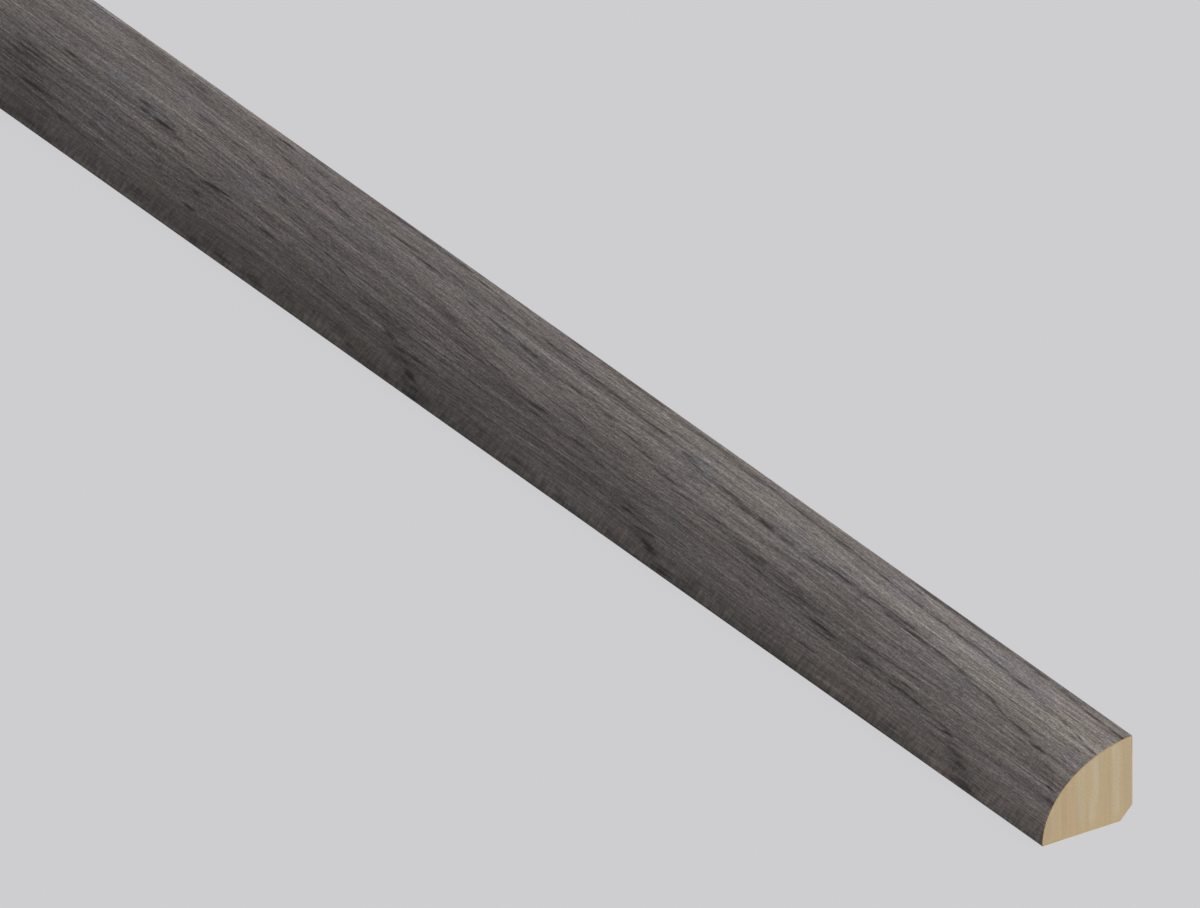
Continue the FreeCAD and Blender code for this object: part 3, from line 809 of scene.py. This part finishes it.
@dataclass
class DecorFoil:
    """The printed foil, a thin band over the curve that turns onto the base and the wall face."""

    moulding: Moulding
    node: str = "decor_foil"
    slot: str = "grey_oak_print"
    toe_bend: float = 0.05 * MM
    wall_bend: float = 0.15 * MM
    strip_px: float = 121.0
    back_row_px: float = 980.0
    back_squeeze: float = 0.1
    edge_row_px: float = 1000.0
    edge_px: float = 5.0

    def build(self) -> bpy.types.Object:
        """Make the foil: its outline pushed along the stick, bent at two corners, then thickened."""
        m = self.moulding
        bm = bmesh.new()
        curve = m.curve(bm, 0.0)
        m.draw_on(bm, curve[-1], [(m.wall, m.top - m.wall_turn)])
        m.draw_on(bm, curve[0], [(m.toe + m.base_turn, 0.0)])
        m.reach_near_end(bm, bmesh.ops.extrude_edge_only(bm, edges=bm.edges[:])["geom"])
        bmesh.ops.recalc_face_normals(bm, faces=bm.faces)
        if sum(face.normal.z * face.calc_area() for face in bm.faces) < 0:
            bmesh.ops.reverse_faces(bm, faces=bm.faces)
        for corner, bend in (((m.toe, 0.0), self.toe_bend), ((m.wall, m.top), self.wall_bend)):
            edges = m.corner_edges(bm, [corner])
            bmesh.ops.bevel(
                bm, geom=edges, offset=bend, affect="EDGES", segments=3, profile=0.5, material=-1
            )
        m.cut_across(bm)
        self.unroll(bm)
        show = list(bm.faces)
        back = bmesh.ops.solidify(bm, geom=show, thickness=m.foil)["geom"]
        self.lay_on_bake_sheet(bm, set(show), {part for part in back if isinstance(part, bmesh.types.BMFace)})
        return finished("grey_foil", bm, [GreyOakPrint().build(), FoilBack().build()])

    def unroll(self, bm: bmesh.types.BMesh) -> None:
        """Map the sheet flat in metres: from the near end away, and from the toe up over the curve."""
        m = self.moulding
        layer = bm.loops.layers.uv.new(UNROLLED)
        walked = m.way_round(bm, (m.toe + m.base_turn, 0.0))
        for face in bm.faces:
            for loop in face.loops:
                up = walked[section_point(loop.vert)] - m.base_turn
                loop[layer].uv = (m.high.x - loop.vert.co.x, up)

    def lay_on_bake_sheet(self, bm: bmesh.types.BMesh, show: set, back: set) -> None:
        """Give the show side strips at an even scale, and the plain paper of the rest a corner of the sheet."""
        m = self.moulding
        sheet = BakeSheet(m)
        unrolled = bm.loops.layers.uv[UNROLLED]
        layer = bm.loops.layers.uv.new(BAKE_MAP)
        outside = {vert for face in show for vert in face.verts}
        for face in bm.faces:
            face.material_index = 0 if face in show else 1
            flat = [loop[unrolled].uv.copy() for loop in face.loops]
            if face in show:
                spots = [(uv.x, (uv.y + m.base_turn) / MM * sheet.px_per_mm) for uv in flat]
                sheet.lay(face, layer, spots, sheet.margin_px, self.strip_px)
            elif face in back:
                scale = sheet.px_per_mm * self.back_squeeze / MM
                spots = [(uv.x, (uv.y + m.base_turn) * scale) for uv in flat]
                sheet.lay(face, layer, spots, self.back_row_px)
            else:
                at_end = abs(face.normal.x) > 0.5
                spots = [
                    ((uv.y + m.base_turn) if at_end else uv.x, self.edge_px * (loop.vert in outside))
                    for uv, loop in zip(flat, face.loops)
                ]
                sheet.lay(face, layer, spots, self.edge_row_px + self.edge_px * 2 * at_end)


@dataclass
class Core:
    """The wood core: all of the section but the foil, with a bevelled heel and shallow rebates for the foil."""

    moulding: Moulding
    node: str = "core"
    slot: str = "core_wood"
    rim_wide: float = 0.3 * MM
    worn_edge: float = 0.15 * MM
    strip_px: float = 90.0
    hidden_row_px: float = 735.0
    hidden_squeeze: float = 0.1
    end_row_px: float = 770.0
    end_px_per_mm: float = 8.0
    near_end_px: float = 10.0
    far_end_px: float = 200.0

    def build(self) -> bpy.types.Object:
        """Make the core: its outline filled and pushed along the stick, with a rim on both sawn ends."""
        m = self.moulding
        bm = bmesh.new()
        curve = m.curve(bm, m.foil)
        corners = m.draw_on(
            bm,
            curve[-1],
            [
                (m.wall - m.foil, m.top - m.wall_turn),
                (m.wall, m.top - m.wall_turn),
                (m.wall, m.heel_bevel),
                (m.wall - m.heel_bevel, 0.0),
                (m.toe + m.base_turn, 0.0),
                (m.toe + m.base_turn, m.foil),
            ],
        )
        end = bm.faces.new([*curve, *corners])
        m.reach_near_end(bm, bmesh.ops.extrude_face_region(bm, geom=[end], use_keep_orig=True)["geom"])
        bmesh.ops.recalc_face_normals(bm, faces=bm.faces)
        heel = m.corner_edges(bm, [(m.wall, m.heel_bevel), (m.wall - m.heel_bevel, 0.0)])
        bmesh.ops.bevel(
            bm, geom=heel, offset=self.worn_edge, affect="EDGES", segments=2, profile=0.5, material=-1
        )
        m.cut_across(bm)
        self.lay_long_sides(bm)
        self.dress_ends(bm)
        return finished("wood_core", bm, [MouldedWood().build(), SawnEnd(toe=m.toe).build()])

    def lay_long_sides(self, bm: bmesh.types.BMesh) -> None:
        """Lay the bare long faces on the bake sheet at an even scale, and the glued ones squeezed."""
        m = self.moulding
        sheet = BakeSheet(m)
        layer = bm.loops.layers.uv.new(BAKE_MAP)
        walked = m.way_round(bm, (m.wall, m.top - m.wall_turn))
        ring = max(walked.values())
        bare_end = min(walked, key=lambda point: math.dist(point, (m.toe + m.base_turn, 0.0)))
        for face in bm.faces:
            if abs(face.normal.x) > 0.5:
                continue
            ways = [walked[section_point(loop.vert)] for loop in face.loops]
            if max(ways) - min(ways) > ring / 2:
                ways = [way or ring for way in ways]
            bare = max(ways) <= walked[bare_end] + TINY
            scale = sheet.px_per_mm / MM * (1.0 if bare else self.hidden_squeeze)
            along = [m.high.x - loop.vert.co.x for loop in face.loops]
            spots = [(x, way * scale) for x, way in zip(along, ways)]
            row, pitch = (sheet.margin_px, self.strip_px) if bare else (self.hidden_row_px, 0.0)
            sheet.lay(face, layer, spots, row, pitch)

    def dress_ends(self, bm: bmesh.types.BMesh) -> None:
        """Give both sawn ends a rim, their material and their place on the bake sheet."""
        m = self.moulding
        sheet = BakeSheet(m)
        rim = bm.loops.layers.float.new(RIM)
        layer = bm.loops.layers.uv[BAKE_MAP]
        middles = [face for face in bm.faces if abs(face.normal.x) > 0.5]
        rings = bmesh.ops.inset_individual(bm, faces=middles, thickness=self.rim_wide)["faces"]
        inner = {vert for face in middles for vert in face.verts}
        for face in [*middles, *rings]:
            face.material_index = 1
            for loop in face.loops:
                loop[rim] = float(loop.vert not in inner)
                across = (loop.vert.co.y - m.toe) / MM * self.end_px_per_mm
                left_px = self.near_end_px if loop.vert.co.x > 0 else self.far_end_px
                up_px = self.end_row_px + loop.vert.co.z / MM * self.end_px_per_mm
                loop[layer].uv = ((left_px + across) / sheet.side_px, up_px / sheet.side_px)


@dataclass
class Studio:
    """A pale floor, soft light from above and behind, and the photograph's parallel view."""

    moulding: Moulding
    backdrop: str = "ceced0"
    floor_albedo: str = "a0a0a2"
    backdrop_share: float = 0.95
    backdrop_glow: float = 1.015
    sky: float = 0.36
    sun: float = 3.7
    sun_from: tuple[float, float, float] = (0.55, 0.4, 0.75)
    sun_wide_deg: float = 45.0
    azimuth_deg: float = 55.86
    elevation_deg: float = 28.69
    image: tuple[int, int] = (1200, 908)
    toe_px: Point = (1042.29, 846.46)
    px_per_mm: float = 5.714
    distance: float = 2.0
    floor_half: float = 9.0

    def build(self) -> None:
        """Set up the floor, the world, the sun and the camera."""
        self.lay_floor()
        self.light()
        self.point_camera()
        bpy.context.scene.view_settings.view_transform = "Standard"

    def seen(self, tree: bpy.types.NodeTree) -> bpy.types.NodeSocket:
        """1 for what the camera, a reflection or a pane sees, and 0 for what lights the object."""
        path = add_node(tree, "ShaderNodeLightPath", {}).outputs
        pattern = Pattern(tree)
        either = pattern.maths("MAXIMUM", path["Is Camera Ray"], path["Is Glossy Ray"])
        return pattern.maths("MAXIMUM", either, path["Is Transmission Ray"])

    def lay_floor(self) -> None:
        """Lay a wide pale floor that shows the backdrop's colour and keeps a soft shadow."""
        bm = bmesh.new()
        bmesh.ops.create_grid(bm, x_segments=1, y_segments=1, size=self.floor_half)
        mesh = bpy.data.meshes.new("floor")
        bm.to_mesh(mesh)
        bm.free()
        floor = bpy.data.objects.new("floor", mesh)
        bpy.context.scene.collection.objects.link(floor)
        material = bpy.data.materials.new("floor")
        material.use_nodes = True
        tree = material.node_tree
        tree.nodes.clear()
        plain = add_node(tree, "ShaderNodeBsdfDiffuse", {"Color": linear(self.floor_albedo)}).outputs[0]
        inputs = {"Color": linear(self.backdrop), "Strength": self.backdrop_glow}
        shown = add_node(tree, "ShaderNodeEmission", inputs).outputs[0]
        share = Pattern(tree).maths("MULTIPLY", self.seen(tree), self.backdrop_share)
        mixed = add_node(tree, "ShaderNodeMixShader", {0: share, 1: plain, 2: shown}).outputs[0]
        add_node(tree, "ShaderNodeOutputMaterial", {"Surface": mixed})
        mesh.materials.append(material)

    def light(self) -> None:
        """Light the stick from an even sky and one wide soft sun."""
        world = bpy.data.worlds.new("studio")
        bpy.context.scene.world = world
        world.use_nodes = True
        tree = world.node_tree
        tree.nodes.clear()
        glow = add_node(tree, "ShaderNodeBackground", {"Color": (1, 1, 1, 1), "Strength": self.sky}).outputs[0]
        shown = add_node(tree, "ShaderNodeBackground", {"Color": linear(self.backdrop)}).outputs[0]
        mixed = add_node(tree, "ShaderNodeMixShader", {0: self.seen(tree), 1: glow, 2: shown}).outputs[0]
        add_node(tree, "ShaderNodeOutputWorld", {"Surface": mixed})
        lamp = bpy.data.lights.new("soft_sun", "SUN")
        lamp.energy = self.sun
        lamp.angle = math.radians(self.sun_wide_deg)
        sun = bpy.data.objects.new("soft_sun", lamp)
        sun.rotation_mode = "QUATERNION"
        sun.rotation_quaternion = Vector(self.sun_from).to_track_quat("Z", "Y")
        bpy.context.scene.collection.objects.link(sun)

    def point_camera(self) -> None:
        """Place the parallel camera so that the near toe lands on its pixel of the photograph."""
        m = self.moulding
        a, e = math.radians(self.azimuth_deg), math.radians(self.elevation_deg)
        right = Vector((math.cos(a), math.sin(a), 0))
        up = Vector((-math.sin(e) * math.sin(a), math.sin(e) * math.cos(a), math.cos(e)))
        back = right.cross(up)
        px = MM / self.px_per_mm
        toe = Vector((m.high.x, m.toe, 0))
        right_of_middle = self.toe_px[0] - self.image[0] / 2
        below_middle = self.toe_px[1] - self.image[1] / 2
        middle = toe - right * right_of_middle * px + up * below_middle * px
        data = bpy.data.cameras.new("photo_view")
        data.type = "ORTHO"
        data.ortho_scale = self.image[0] * px
        data.clip_start, data.clip_end = 0.01, 50.0
        camera = bpy.data.objects.new("photo_view", data)
        turn = Matrix((right, up, back)).transposed()
        camera.matrix_world = Matrix.Translation(middle + back * self.distance) @ turn.to_4x4()
        bpy.context.scene.collection.objects.link(camera)
        bpy.context.scene.camera = camera


def main() -> None:
    """Build the stick and the studio, then hand the pieces over."""
    logging.basicConfig(level=logging.INFO, format="%(name)s: %(message)s")
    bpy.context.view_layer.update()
    moulding = Moulding(*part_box("decor_foil"))
    for maker in (Core(moulding), DecorFoil(moulding)):
        piece = maker.build()
        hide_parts(maker.node)
        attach(piece, "root")
        log.info("%s: %d faces", piece.name, len(piece.data.polygons))
    Studio(moulding).build()


if __name__ == "__main__":
    main()
